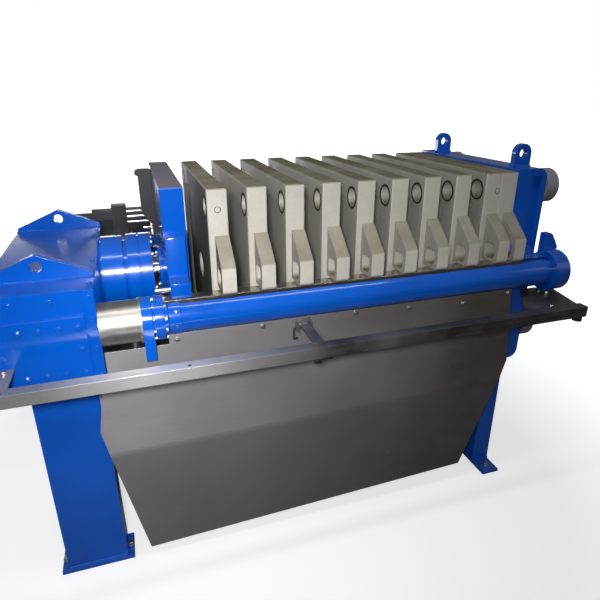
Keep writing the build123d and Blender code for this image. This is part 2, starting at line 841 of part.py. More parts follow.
# Block on the back load sleeve, with the rods that mark where the follower stops
block_right = sleeve_right - stroke_block_gap
with BuildPart() as block:
    with BuildSketch(Plane.YZ.offset(block_right - stroke_block_length)):
        with Locations((bar_spread, bar_axis_z)):
            Rectangle(stroke_block_width, stroke_block_height, align=(Align.CENTER, Align.MIN))
            Circle(sleeve_radius, mode=Mode.SUBTRACT)
    extrude(amount=stroke_block_length)
    with BuildSketch(Plane.YZ.offset(block_right - stroke_block_length)):
        strip_z = bar_axis_z + stroke_rod_height + 3 * stroke_rod_pitch / 2
        with Locations((bar_spread - stroke_block_width / 2, strip_z)):
            Rectangle(stroke_strip_thickness, stroke_strip_height, align=(Align.MIN, Align.CENTER))
    extrude(amount=-stroke_strip_length)
finish(block.part, "stroke_block")

with BuildPart() as stroke_rods:
    with BuildSketch(Plane.YZ.offset(block_right)):
        with Locations(*stroke_rod_points):
            Circle(stroke_rod_radius)
    extrude(amount=follower_left - stroke_rod_gap - block_right)
finish(stroke_rods.part, "stroke_rods")
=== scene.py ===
# %% [markdown]
# # Plate filter press
# A filter press squeezes slurry between a row of chamber plates. This script dresses the press that the
# construction step made: it gives every part a finish, and adds the bolts, welds and fittings that are too
# small for that step. All lengths are in metres, and every new piece is built where it belongs, so nothing
# has to be fitted afterwards.

# %% Load the press
import math

import bmesh
import bpy
from mathutils import Matrix, Vector


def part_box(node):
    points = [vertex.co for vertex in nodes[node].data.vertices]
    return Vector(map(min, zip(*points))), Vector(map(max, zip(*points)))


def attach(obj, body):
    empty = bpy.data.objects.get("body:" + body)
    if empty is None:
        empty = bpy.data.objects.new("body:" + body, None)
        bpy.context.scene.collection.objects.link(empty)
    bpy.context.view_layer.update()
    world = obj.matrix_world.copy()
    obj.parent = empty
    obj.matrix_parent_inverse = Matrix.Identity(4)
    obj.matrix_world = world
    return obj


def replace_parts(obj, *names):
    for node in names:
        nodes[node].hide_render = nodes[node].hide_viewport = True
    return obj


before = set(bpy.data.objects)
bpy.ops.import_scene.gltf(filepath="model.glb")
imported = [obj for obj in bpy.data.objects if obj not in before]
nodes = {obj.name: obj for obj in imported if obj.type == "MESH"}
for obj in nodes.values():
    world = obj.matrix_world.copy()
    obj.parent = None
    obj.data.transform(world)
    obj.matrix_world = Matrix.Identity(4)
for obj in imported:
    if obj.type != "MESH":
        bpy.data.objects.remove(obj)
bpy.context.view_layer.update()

# %% [markdown]
# The camera comes first, because every later choice is judged through it. It stands 1.46 m above the floor
# at the drive end, looks down by 22 degrees and a little to the right, and sees about 60 degrees across.
# That is a short lens, which makes the near end of the press look large.

# %% Place the camera
camera_data = bpy.data.cameras.new("camera")
camera_data.sensor_width = 36
camera_data.lens = 30.9
camera = bpy.data.objects.new("camera", camera_data)
camera.location = (-0.3768, -1.742, 1.460)
camera.rotation_euler = (math.radians(90 - 22.2), 0, math.radians(-18.1))
bpy.context.scene.collection.objects.link(camera)
bpy.context.scene.camera = camera
print("camera at", tuple(round(c, 3) for c in camera.location))

# %% [markdown]
# The photograph was lit from beside the camera, which fills the gaps between the plates and leaves only thin
# shadows. The key lamp therefore stands just left of the camera, with a narrow spread, so that its light falls off
# towards the head. A long thin lamp hangs over the press and draws a bright line along the bars, a weak one fills
# the right side, and a low one lights the back.

# %% Hang the lamps
scene = bpy.context.scene
scene.view_settings.view_transform = "Standard"


def soft_lamp(name, place, target, size, watts, spread_degrees=180):
    """Hang a rectangular area lamp at a place and point it at a target."""
    lamp_data = bpy.data.lights.new(name, "AREA")
    lamp_data.shape = "RECTANGLE"
    lamp_data.size, lamp_data.size_y = size
    lamp_data.energy = watts
    lamp_data.spread = math.radians(spread_degrees)
    lamp = bpy.data.objects.new(name, lamp_data)
    lamp.location = place
    lamp.rotation_euler = (Vector(target) - Vector(place)).to_track_quat("-Z", "Y").to_euler()
    scene.collection.objects.link(lamp)


soft_lamp("lamp_over", (-0.4, -0.75, 2.6), (-0.4, 0.0, 0.9), (3.2, 0.10), 14)
soft_lamp("lamp_key", (-0.48, -1.80, 1.58), (-0.36, -0.1, 0.75), (0.15, 0.15), 9.5, 95)
soft_lamp("lamp_side", (3.2, -1.8, 1.8), (0.2, 0.0, 0.8), (1.2, 1.6), 3)
soft_lamp("lamp_back", (-0.6, 2.8, 1.05), (0.0, 0.0, 0.5), (2.0, 0.8), 26)

print("four lamps hung")

# %% [markdown]
# One white world would be simpler, but the glossy blue paint would mirror it and look washed out. Light paths
# tell the rays apart, so the camera sees a white world, mirrors see a dim hall, and a little light comes from all
# round.

# %% Colour the world
world = bpy.data.worlds.new("studio")
world.use_nodes = True
scene.world = world
tree = world.node_tree
tree.nodes.clear()
rays = tree.nodes.new("ShaderNodeLightPath")


def sky_of(strength, colour):
    """A background of one strength and colour."""
    background = tree.nodes.new("ShaderNodeBackground")
    background.inputs["Color"].default_value = (*colour, 1)
    background.inputs["Strength"].default_value = strength
    return background.outputs[0]


def picked(chooser, otherwise, chosen):
    """A background that is one thing for some rays and another for the rest."""
    choice = tree.nodes.new("ShaderNodeMixShader")
    tree.links.new(chooser, choice.inputs["Fac"])
    tree.links.new(otherwise, choice.inputs[1])
    tree.links.new(chosen, choice.inputs[2])
    return choice.outputs[0]


hall = picked(rays.outputs["Is Glossy Ray"], sky_of(0.19, (0.90, 0.93, 1.0)), sky_of(0.12, (0.95, 0.97, 1.0)))
around = picked(rays.outputs["Is Camera Ray"], hall, sky_of(1.0, (1, 1, 1)))
around = picked(rays.outputs["Is Transmission Ray"], around, sky_of(1.0, (1, 1, 1)))
sky = tree.nodes.new("ShaderNodeOutputWorld")
tree.links.new(around, sky.inputs["Surface"])
print("world of", len(tree.nodes), "nodes")

# %% [markdown]
# Effects that several finishes share are built once as node groups: a group for softened edges, one for
# uneven colour, one for dust that settles on level surfaces, one for the fine lines of ground steel and one for
# small spots. Each gives only values or a normal, and the material that uses it decides what they do.

# %% A short way to write node trees
def joined(tree, source, target):
    """Link one socket to another."""
    tree.links.new(source, target)


def math_node(tree, operation, first, second, clamp=False):
    """Add a maths node whose inputs are sockets or numbers, and return its output."""
    node = tree.nodes.new("ShaderNodeMath")
    node.operation = operation
    node.use_clamp = clamp
    for socket, value in zip(node.inputs, (first, second)):
        if isinstance(value, (int, float)):
            socket.default_value = value
        else:
            tree.links.new(value, socket)
    return node.outputs[0]


def new_group(name, inputs, outputs):
    """Start a node group with named number inputs and named outputs."""
    group = bpy.data.node_groups.new(name, "ShaderNodeTree")
    for label, value in inputs.items():
        socket = group.interface.new_socket(name=label, in_out="INPUT", socket_type="NodeSocketFloat")
        socket.default_value = value
    for label, kind in outputs.items():
        group.interface.new_socket(name=label, in_out="OUTPUT", socket_type=kind)
    entry = group.nodes.new("NodeGroupInput")
    result = group.nodes.new("NodeGroupOutput")
    return group, entry.outputs, result.inputs


print("links, sums and groups ready")

# %% [markdown]
# Almost every mask below is noise that is squeezed into a range. Noise could follow each piece's own size, but on
# the object's coordinates it keeps one scale from the smallest bolt to the longest wall.

# %% Noise and ranges
def object_noise(tree, scale, detail=3.0, roughness=0.55, stretch=(1, 1, 1)):
    """Noise on the object's own coordinates, stretched along its axes."""
    place = tree.nodes.new("ShaderNodeTexCoord")
    mapping = tree.nodes.new("ShaderNodeMapping")
    mapping.inputs["Scale"].default_value = stretch
    tree.links.new(place.outputs["Object"], mapping.inputs["Vector"])
    noise = tree.nodes.new("ShaderNodeTexNoise")
    noise.inputs["Detail"].default_value = detail
    noise.inputs["Roughness"].default_value = roughness
    if isinstance(scale, (int, float)):
        noise.inputs["Scale"].default_value = scale
    else:
        tree.links.new(scale, noise.inputs["Scale"])
    tree.links.new(mapping.outputs[0], noise.inputs["Vector"])
    return noise.outputs[0]


def spread(tree, value, low, high, to_low=0.0, to_high=1.0):
    """Map a value from one range to another, kept inside it."""
    node = tree.nodes.new("ShaderNodeMapRange")
    node.clamp = True
    for label, number in (("From Min", low), ("From Max", high), ("To Min", to_low), ("To Max", to_high)):
        if isinstance(number, (int, float)):
            node.inputs[label].default_value = number
        else:
            tree.links.new(number, node.inputs[label])
    tree.links.new(value, node.inputs["Value"])
    return node.outputs["Result"]


print("noise and ranges ready")

# %% Soft edges and worn edges
soft_edges, given, result = new_group(
    "soft_edges", {"Radius": 0.0015}, {"Normal": "NodeSocketVector", "Edge": "NodeSocketFloat"}
)
rounded = soft_edges.nodes.new("ShaderNodeBevel")
rounded.samples = 6
joined(soft_edges, given["Radius"], rounded.inputs["Radius"])
flat = soft_edges.nodes.new("ShaderNodeNewGeometry")
closeness = soft_edges.nodes.new("ShaderNodeVectorMath")
closeness.operation = "DOT_PRODUCT"
joined(soft_edges, rounded.outputs["Normal"], closeness.inputs[0])
joined(soft_edges, flat.outputs["Normal"], closeness.inputs[1])
joined(soft_edges, rounded.outputs["Normal"], result["Normal"])
joined(soft_edges, spread(soft_edges, closeness.outputs["Value"], 0.995, 0.85), result["Edge"])
print("soft edges:", len(soft_edges.nodes), "nodes")

# %% Uneven colour, dust and ground lines
uneven, given, result = new_group("uneven", {"Scale": 6.0, "Low": 0.35, "High": 0.65}, {"Value": "NodeSocketFloat"})
joined(uneven, spread(uneven, object_noise(uneven, given["Scale"], 5), given["Low"], given["High"]), result["Value"])

settled_dust, given, result = new_group(
    "settled_dust", {"Amount": 0.5, "Scale": 9.0, "Evenness": 0.0}, {"Dust": "NodeSocketFloat"}
)
facing = settled_dust.nodes.new("ShaderNodeNewGeometry")
upward = settled_dust.nodes.new("ShaderNodeSeparateXYZ")
joined(settled_dust, facing.outputs["Normal"], upward.inputs[0])
level = spread(settled_dust, upward.outputs["Z"], 0.55, 0.98)
patchy = spread(settled_dust, object_noise(settled_dust, given["Scale"], 6), 0.3, 0.75, given["Evenness"], 1.0)
joined(
    settled_dust,
    math_node(settled_dust, "MULTIPLY", math_node(settled_dust, "MULTIPLY", level, patchy), given["Amount"]),
    result["Dust"],
)

ground_lines, given, result = new_group("ground_lines", {"Scale": 60.0}, {"Lines": "NodeSocketFloat"})
joined(
    ground_lines,
    object_noise(ground_lines, given["Scale"], 4, 0.7, stretch=(0.06, 1, 1.6)),
    result["Lines"],
)

speckle, given, result = new_group(
    "speckle", {"Scale": 160.0, "Low": 0.6, "High": 0.72}, {"Spots": "NodeSocketFloat"}
)
spots = spread(speckle, object_noise(speckle, given["Scale"], 2), given["Low"], given["High"])
joined(speckle, spots, result["Spots"])
print("shared effects:", [group.name for group in bpy.data.node_groups])

# %% [markdown]
# A finish starts from the same skeleton each time: one Principled shader, a softened normal and a bump. The
# helpers below place a group with its own values and mix two colours by a mask, so that each material reads
# as a short list of layers from the metal up to the dust.

# %% Helpers for finishes
def finish_base(name, metallic=0.0, coat=0.0):
    """Start a material and return it with its tree and its shader."""
    material = bpy.data.materials.new(name)
    material.use_nodes = True
    shader = material.node_tree.nodes["Principled BSDF"]
    shader.inputs["Metallic"].default_value = metallic
    shader.inputs["Coat Weight"].default_value = coat
    shader.inputs["Coat Roughness"].default_value = 0.03
    return material, material.node_tree, shader


def placed(tree, group, **values):
    """Place a node group with its own values and return its outputs."""
    node = tree.nodes.new("ShaderNodeGroup")
    node.node_tree = group
    for label, value in values.items():
        node.inputs[label].default_value = value
    return node.outputs


def mixed(tree, mask, first, second):
    """Mix two colours, given as sockets or as red, green and blue, by a mask."""
    node = tree.nodes.new("ShaderNodeMix")
    node.data_type = "RGBA"
    tree.links.new(mask, node.inputs[0])
    for socket, colour in ((node.inputs[6], first), (node.inputs[7], second)):
        if isinstance(colour, tuple):
            socket.default_value = (*colour, 1)
        else:
            tree.links.new(colour, socket)
    return node.outputs[2]


def bumped(tree, shader, height, distance, strength=1.0, radius=0.0015):
    """Feed the shader a bump on top of softened edges, and return the worn-edge mask."""
    edges = placed(tree, soft_edges, Radius=radius)
    bump = tree.nodes.new("ShaderNodeBump")
    bump.inputs["Strength"].default_value = strength
    bump.inputs["Distance"].default_value = distance
    tree.links.new(height, bump.inputs["Height"])
    tree.links.new(edges["Normal"], bump.inputs["Normal"])
    tree.links.new(bump.outputs["Normal"], shader.inputs["Normal"])
    return edges["Edge"]


def scaled(tree, value, factor):
    """A value times a number."""
    return math_node(tree, "MULTIPLY", value, factor)


print("finish helpers ready")

# %% [markdown]
# The frame wears thick blue enamel. Sprayed enamel is never quite flat: a slow ripple, called orange peel,
# bends the reflections. Paint thins at sharp corners, so the edges are a little paler, and the level tops
# carry a trace of grey dust. The level top of the follower is coloured a thick brown instead.

# %% Blue enamel
def blue_enamel(name, deep, pale, dust_amount, dust_evenness, dust_colour):
    """Glossy enamel over steel, with orange peel, paler edges and dust on its level tops."""
    material, tree, shader = finish_base(name, coat=0.5)
    clouds = placed(tree, uneven, Scale=3.5, Low=0.3, High=0.7)["Value"]
    peel = object_noise(tree, 55, 2)
    edge = bumped(tree, shader, peel, 0.0006, 0.35, radius=0.002)
    colour = mixed(tree, clouds, deep, pale)
    wear = math_node(tree, "MULTIPLY", edge, placed(tree, uneven, Scale=30.0, Low=0.5, High=0.7)["Value"])
    colour = mixed(tree, scaled(tree, wear, 0.35), colour, (0.07, 0.17, 0.42))
    dust = placed(tree, settled_dust, Amount=dust_amount, Scale=11.0, Evenness=dust_evenness)["Dust"]
    colour = mixed(tree, dust, colour, dust_colour)
    tree.links.new(colour, shader.inputs["Base Color"])
    gloss = spread(tree, clouds, 0, 1, 0.13, 0.22)
    tree.links.new(math_node(tree, "ADD", gloss, scaled(tree, dust, 1.2), True), shader.inputs["Roughness"])
    return material


deep_blue, pale_blue = (0.0, 0.070, 0.42), (0.0, 0.100, 0.56)
grey_dust, follower_top_brown = (0.30, 0.31, 0.33), (0.20, 0.165, 0.145)
frame_blue = blue_enamel("frame_blue", deep_blue, pale_blue, 0.07, 0.0, grey_dust)
brown_topped_blue = blue_enamel("brown_topped_blue", deep_blue, pale_blue, 0.95, 0.8, follower_top_brown)
print("blue enamel:", len(frame_blue.node_tree.nodes), "nodes")

# %% [markdown]
# Small pips on the flat sides of a chamber plate hold the filter cloth away from it, so that the liquid can run
# off behind. Thousands of modelled pips would be far too many faces for a detail this small, so two crossed waves
# give their height, and the bump of the plastic reads it.

# %% Pips of the filter plates
pip_pattern, given, result = new_group("pip_pattern", {"Pitch": 0.014}, {"Height": "NodeSocketFloat"})
where = pip_pattern.nodes.new("ShaderNodeTexCoord")
axes = pip_pattern.nodes.new("ShaderNodeSeparateXYZ")
joined(pip_pattern, where.outputs["Object"], axes.inputs[0])
turns = math_node(pip_pattern, "DIVIDE", math.tau, given["Pitch"])
waves = []
for axis in ("Y", "Z"):
    phase = math_node(pip_pattern, "MULTIPLY", axes.outputs[axis], turns)
    waves.append(math_node(pip_pattern, "SINE", phase, 0.0))
joined(pip_pattern, spread(pip_pattern, math_node(pip_pattern, "MULTIPLY", *waves), 0.1, 0.6), result["Height"])


print("pip pattern:", len(pip_pattern.nodes), "nodes")

# %% [markdown]
# The plates are moulded polypropylene, a waxy plastic of a warm light grey. Its pores hold a little filter
# cake, so the flat sides are browner than the outer edges, which are handled and wiped. An olive film lies on
# the tops and on the slopes of the handles. The side of the first plate that meets the follower is nearly black,
# which is painted shade for the follower's shadow. The direction in which a face points tells all this apart, so one
# finish serves the whole plate.

# %% Moulded plate plastic
# The third colour is painted shade: the nearly black face of the first plate in the follower's shadow.
rim, flat_side, follower_shadow_side = (0.56, 0.53, 0.47), (0.37, 0.34, 0.30), (0.045, 0.04, 0.042)
pores, olive, worn_edge = (0.32, 0.28, 0.18), (0.125, 0.104, 0.052), (0.55, 0.53, 0.46)


def plate_plastic(name, drive_side):
    """Matt plastic that is paler on its rim, stained on the flat sides, and studded there with small pips."""
    material, tree, shader = finish_base(name)
    mottle = placed(tree, uneven, Scale=14.0, Low=0.25, High=0.75)["Value"]
    grit = placed(tree, speckle, Scale=240.0, Low=0.58, High=0.75)["Spots"]
    facing = tree.nodes.new("ShaderNodeNewGeometry")
    sides = tree.nodes.new("ShaderNodeSeparateXYZ")
    tree.links.new(facing.outputs["True Normal"], sides.inputs[0])
    flatness = spread(tree, math_node(tree, "ABSOLUTE", sides.outputs["X"], 0.0), 0.7, 1.0)
    colour = mixed(tree, mottle, rim, tuple(0.86 * c for c in rim))
    stain = math_node(tree, "MULTIPLY", flatness, spread(tree, mottle, 0, 1, 0.75, 1.0))
    colour = mixed(tree, stain, colour, flat_side)
    colour = mixed(tree, spread(tree, sides.outputs["X"], -0.7, -1.0), colour, drive_side)
    level = spread(tree, sides.outputs["Z"], 0.1, 0.95)
    film_and_shade = spread(tree, object_noise(tree, 7, 5), 0.35, 0.7, 0.75, 1.0)
    colour = mixed(tree, scaled(tree, grit, 0.35), colour, pores)
    colour = mixed(tree, math_node(tree, "MULTIPLY", level, film_and_shade), colour, olive)
    pips = math_node(tree, "MULTIPLY", placed(tree, pip_pattern, Pitch=0.014)["Height"], flatness)
    colour = mixed(tree, scaled(tree, pips, 0.55), colour, tuple(0.85 * c for c in rim))
    relief = math_node(tree, "ADD", scaled(tree, object_noise(tree, 420, 3), 0.15), pips)
    edge = bumped(tree, shader, relief, 0.0025, 0.8, radius=0.002)
    colour = mixed(tree, scaled(tree, edge, 0.22), colour, worn_edge)
    tree.links.new(colour, shader.inputs["Base Color"])
    tree.links.new(spread(tree, mottle, 0, 1, 0.52, 0.68), shader.inputs["Roughness"])
    return material


plate_beige = plate_plastic("plate_beige", flat_side)
# The first plate's drive side wears painted shade for the shadow of the follower.
first_beige = plate_plastic("first_beige", follower_shadow_side)
print("plate plastic:", len(plate_beige.node_tree.nodes), "nodes")

# %% [markdown]
# The chute is cold-rolled stainless sheet. Rolling leaves fine lines along the sheet. Towards the head end its
# colour darkens to a warm brown, which is painted shade for the light and the reflections that fall off along the
# press.

# %% Stainless sheet
def stainless(name, clean, film_and_shade, shade_start, shade_end, metallic, on_chute):
    """Rolled sheet with fine lines, drying marks and painted shade that deepens along the press.

    The last argument is 1 on the chute, which gets painted shade below its fold, and 0 on the rails, which get
    painted shade at the drive end.
    """
    material, tree, shader = finish_base(name, metallic=metallic)
    lines = placed(tree, ground_lines, Scale=90.0)["Lines"]
    clouds = placed(tree, uneven, Scale=2.6, Low=0.3, High=0.72)["Value"]
    smears = placed(tree, uneven, Scale=9.0, Low=0.42, High=0.62)["Value"]
    place = tree.nodes.new("ShaderNodeTexCoord")
    axes = tree.nodes.new("ShaderNodeSeparateXYZ")
    tree.links.new(place.outputs["Object"], axes.inputs[0])
    # Painted shade: the colour darkens along the press in cloudy patches, where light and reflections fall off.
    along = spread(tree, axes.outputs["X"], shade_start, shade_end)
    patch = spread(tree, clouds, 0, 1, -0.16, 0.16)
    cover = math_node(tree, "ADD", along, patch, True)
    colour = mixed(tree, cover, clean, film_and_shade)
    # Painted shade at the drive end of the rails, where the reflection on them falls off.
    drive_end_shade = spread(tree, axes.outputs["X"], -0.64, -0.40, 0.8, 0.0)
    colour = mixed(tree, scaled(tree, drive_end_shade, 1.0 - on_chute), colour, tuple(0.22 * c for c in clean))
    # Painted shade below the fold of the chute, whose lower panel faces away from the light.
    below_fold_shade = spread(tree, axes.outputs["Z"], 0.45, 0.475, 0.55, 0.0)
    colour = mixed(tree, scaled(tree, below_fold_shade, on_chute), colour, tuple(0.25 * c + 0.02 for c in clean))
    colour = mixed(tree, scaled(tree, smears, 0.14), colour, tuple(0.55 * c for c in clean))
    colour = mixed(tree, spread(tree, lines, 0.35, 0.65, 0.0, 0.10), colour, tuple(0.5 * c for c in clean))
    spots = placed(tree, speckle, Scale=60.0, Low=0.70, High=0.76)["Spots"]
    colour = mixed(tree, scaled(tree, spots, 0.12), colour, tuple(min(1, 1.6 * c) for c in clean))
    bumped(tree, shader, lines, 0.0002, 0.25)
    tree.links.new(colour, shader.inputs["Base Color"])
    tree.links.new(spread(tree, lines, 0.3, 0.7, 0.30, 0.46), shader.inputs["Roughness"])
    return material


# Painted shade on both sheets: the chute darkens towards the head end, and the rails darken towards the head end and
# the drive end.
chute_steel = stainless("chute_steel", (0.40, 0.395, 0.41), (0.105, 0.083, 0.064), -0.60, 0.80, 0.40, 1.0)
rail_steel = stainless("rail_steel", (0.74, 0.73, 0.75), (0.040, 0.031, 0.025), -0.40, 0.14, 0.55, 0.0)
print("stainless finishes:", chute_steel.name, rail_steel.name)

# %% [markdown]
# The wear rails, the load sleeves and the rods are turned or ground steel, brighter than the sheet. The pipe
# flanges are a plain grey casting, and the block and the post are black paint that has gone dull.

# %% Bright steel, grey castings and black paint
def bright_steel(name, colour, rough):
    """Ground steel with fine lines and faint stains."""
    material, tree, shader = finish_base(name, metallic=1.0)
    lines = placed(tree, ground_lines, Scale=110.0)["Lines"]
    stains = placed(tree, uneven, Scale=16.0, Low=0.45, High=0.75)["Value"]
    bumped(tree, shader, lines, 0.0002, 0.3, radius=0.001)
    shade = mixed(tree, scaled(tree, stains, 0.5), colour, tuple(0.45 * c for c in colour))
    tree.links.new(shade, shader.inputs["Base Color"])
    tree.links.new(spread(tree, lines, 0.3, 0.7, rough, rough + 0.16), shader.inputs["Roughness"])
    return material


def dull_coat(name, dark, pale, rough):
    """Plain paint or a casting with cloudy shade, chipped edges and dust."""
    material, tree, shader = finish_base(name)
    clouds = placed(tree, uneven, Scale=18.0, Low=0.3, High=0.7)["Value"]
    edge = bumped(tree, shader, object_noise(tree, 260, 3), 0.0004, 0.4)
    colour = mixed(tree, clouds, dark, pale)
    colour = mixed(tree, scaled(tree, edge, 0.5), colour, tuple(min(1, 2.2 * c + 0.03) for c in pale))
    dust = placed(tree, settled_dust, Amount=0.25, Scale=14.0)["Dust"]
    colour = mixed(tree, dust, colour, (0.30, 0.29, 0.27))
    tree.links.new(colour, shader.inputs["Base Color"])
    tree.links.new(spread(tree, clouds, 0, 1, rough, rough + 0.15), shader.inputs["Roughness"])
    return material


sleeve_steel = bright_steel("sleeve_steel", (0.62, 0.60, 0.56), 0.30)
rod_steel = bright_steel("rod_steel", (0.70, 0.70, 0.70), 0.12)
wear_steel = bright_steel("wear_steel", (0.50, 0.47, 0.42), 0.13)
bolt_steel = bright_steel("bolt_steel", (0.58, 0.57, 0.55), 0.28)
flange_grey = dull_coat("flange_grey", (0.21, 0.21, 0.24), (0.29, 0.29, 0.32), 0.4)
dull_black = dull_coat("dull_black", (0.010, 0.010, 0.011), (0.022, 0.022, 0.023), 0.4)
print("metal finishes:", sleeve_steel.name, rod_steel.name, wear_steel.name, flange_grey.name, dull_black.name)

# %% [markdown]
# Each part from the construction step keeps its shape and only changes its finish. The table names which
# parts wear which, so a new colour for the frame is one line.

# %% Give every part its finish
plate_names = [f"filter_plate_{number}" for number in range(1, 10)] + ["tail_plate"]
finishes = {
    frame_blue: [
        "drive_head", "drive_covers", "drive_lugs", "cylinder_barrel", "drive_leg_front", "drive_leg_back",
        "bar_flange_front", "bar_flange_back", "side_bar_front", "side_bar_back", "bar_caps", "fixed_head",
        "head_gussets", "head_lugs", "head_leg_front", "head_leg_back", "follower_shoe_front", "follower_shoe_back",
    ],
    brown_topped_blue: ["follower"],
    plate_beige: plate_names[1:],
    first_beige: plate_names[:1],
    chute_steel: ["chute_wall_front", "chute_wall_back", "chute_end_drive", "chute_end_head", "chute_hangers"],
    rail_steel: ["square_rail_front", "square_rail_back", "rail_brackets", "tie_plates"],
    wear_steel: ["wear_rails"],
    sleeve_steel: ["load_sleeves"],
    rod_steel: ["piston_rod", "stroke_rods"],
    flange_grey: ["port_flanges", "feed_flange"],
    dull_black: ["stroke_block", "roller_post"],
}
for material, names in finishes.items():
    for name in names:
        for holder in nodes[name].material_slots:
            holder.material = material
dressed = sum(len(names) for names in finishes.values())
print(f"{dressed} of {len(nodes)} parts have their finish")

# %% [markdown]
# Bolts, rings and weld beads are too small for the construction step. Each kind is modelled once at the origin,
# standing on the plane z = 0, and then copied to every place where it belongs. The copies of one kind are
# joined into one piece, so a hundred bolts stay one object. Discs and blocks are the stock that most are made of.

# %% Discs and blocks
def disc(shape, radius, low, high, sides=20):
    """Add a closed upright cylinder between two heights."""
    middle = Matrix.Translation((0, 0, (low + high) / 2))
    bmesh.ops.create_cone(
        shape, cap_ends=True, segments=sides, radius1=radius, radius2=radius, depth=high - low, matrix=middle
    )


def soften(shape, edges, bevel, segments=2):
    """Cut some edges of a shape back a little, round with two segments and flat with one."""
    bmesh.ops.bevel(
        shape, geom=edges, offset=bevel, offset_type="OFFSET", segments=segments, profile=0.5, affect="EDGES",
        material=-1,
    )


def block(shape, low, high, bevel=0.0):
    """Add a closed box between two corners, with softened edges if a bevel is given."""
    centre = (Vector(low) + Vector(high)) / 2
    size = Vector(high) - Vector(low)
    made = bmesh.ops.create_cube(shape, size=1, matrix=Matrix.Translation(centre) @ Matrix.Diagonal((*size, 1)))
    if bevel:
        soften(shape, list({edge for corner in made["verts"] for edge in corner.link_edges}), bevel)


print("discs and blocks ready")

# %% [markdown]
# A bolt head is a six-sided prism whose top edges are cut back. A socket screw is a disc with a hollow pushed into
# its top. Rings are turned from an outline, as on a lathe, because a ready-made torus has no flat faces.

# %% Bolts, screws and rings
def bolt(across, height, washer=True, thread=0.0):
    """A six-sided head with a chamfered top, on a washer and with a thread end if they are asked for."""
    shape = bmesh.new()
    base = -0.0003
    if washer:
        disc(shape, 0.66 * across, base, 0.14 * across)
        base = 0.13 * across
    middle = Matrix.Translation((0, 0, base + height / 2))
    head = bmesh.ops.create_cone(
        shape, cap_ends=True, segments=6, radius1=across / 1.732, radius2=across / 1.732, depth=height, matrix=middle
    )
    top_edges = [edge for corner in head["verts"] for edge in corner.link_edges]
    top_edges = list({edge for edge in top_edges if all(corner.co.z > base + 0.9 * height for corner in edge.verts)})
    soften(shape, top_edges, 0.09 * across, segments=1)
    if thread:
        disc(shape, 0.3 * across, base + height - 0.0002, base + height + thread, 14)
    return shape


def socket_screw(radius, height):
    """A round head with a hollow in its top for the key."""
    shape = bmesh.new()
    disc(shape, radius, -0.0003, height, 18)
    top = max(shape.faces, key=lambda face: face.calc_center_median().z)
    bmesh.ops.inset_region(shape, faces=[top], thickness=0.45 * radius, use_even_offset=True)
    hollow = bmesh.ops.extrude_face_region(shape, geom=[top])
    moved = [item for item in hollow["geom"] if isinstance(item, bmesh.types.BMVert)]
    bmesh.ops.translate(shape, vec=(0, 0, -0.5 * height), verts=moved)
    bmesh.ops.delete(shape, geom=[top], context="FACES")
    return shape


def turned(outline, sides=40):
    """A ring made by turning a closed outline of radius and height pairs about the z axis."""
    shape = bmesh.new()
    corners = [shape.verts.new((radius, 0, height)) for radius, height in outline]
    loop = [shape.edges.new(pair) for pair in zip(corners, corners[1:] + corners[:1])]
    bmesh.ops.spin(
        shape, geom=corners + loop, cent=(0, 0, 0), axis=(0, 0, 1), angle=math.tau, steps=sides, use_merge=True
    )
    bmesh.ops.recalc_face_normals(shape, faces=shape.faces[:])
    return shape


# The small holes are such discs in black: painted shade for the inside of a hole.
def plug(radius):
    """A flat disc that stands hardly proud of the face it is let into."""
    shape = bmesh.new()
    disc(shape, radius, -0.002, 0.0004)
    return shape


print("templates ready")

# %% Ways to place them
sides_of_press = (-1, 1)
to_head, to_drive, outwards, up = (1, 0, 0), (-1, 0, 0), (0, 1, 0), (0, 0, 1)
bar_y, bar_z, axis_z = 0.370, 0.870, 0.893
ports = [(y, z) for y in (-0.269, 0.269) for z in (0.635, 1.151)]


def facing(point, direction, turn=0.0):
    """The place at a point where a template's z axis looks along a direction."""
    aim = Vector(direction).to_track_quat("Z", "Y").to_matrix().to_4x4()
    return Matrix.Translation(point) @ aim @ Matrix.Rotation(turn, 4, "Z")


def ring_of(centre, direction, radius, count, start=0.0):
    """Places evenly round a circle, all looking the same way."""
    aim = Vector(direction).to_track_quat("Z", "Y")
    places = []
    for step in range(count):
        angle = start + math.tau * step / count
        offset = aim @ Vector((radius * math.cos(angle), radius * math.sin(angle), 0))
        places.append(facing(Vector(centre) + offset, direction, 1.7 * step))
    return places


def round_bars(x, radius, count, first_degrees):
    """Places evenly round both bars, looking away from the bar."""
    places = []
    for side in sides_of_press:
        for step in range(count):
            angle = math.radians(first_degrees + 360 / count * step)
            out = (0, math.cos(angle), math.sin(angle))
            places.append(facing((x, side * bar_y + radius * out[1], bar_z + radius * out[2]), out))
    return places


def both_ways(places):
    """The places and their mirror images across the middle of the press, with the direction mirrored too."""
    pairs = []
    for x, y, z, direction in places:
        for side in sides_of_press:
            aim = (direction[0], side * direction[1], direction[2])
            pairs.append(facing((x, side * y, z), aim, 40 * x + 9 * y))
    return pairs


def between(side, near, far):
    """The y of two distances from the middle of the press on one side, in rising order."""
    return sorted((side * near, side * far))


print("ways to place small pieces ready")

# %% Making pieces from templates
def finished(name, shape, body, material, slot):
    """Turn a shape into an object with sharp edges kept, give it the material, and tie it to its body. The slot is
    not used.
    """
    mesh = bpy.data.meshes.new(name)
    shape.to_mesh(mesh)
    shape.free()
    for face in mesh.polygons:
        face.use_smooth = True
    mesh.set_sharp_from_angle(angle=math.radians(32))
    mesh.materials.append(material)
    piece = bpy.data.objects.new(name, mesh)
    scene.collection.objects.link(piece)
    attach(piece, body)
    return piece


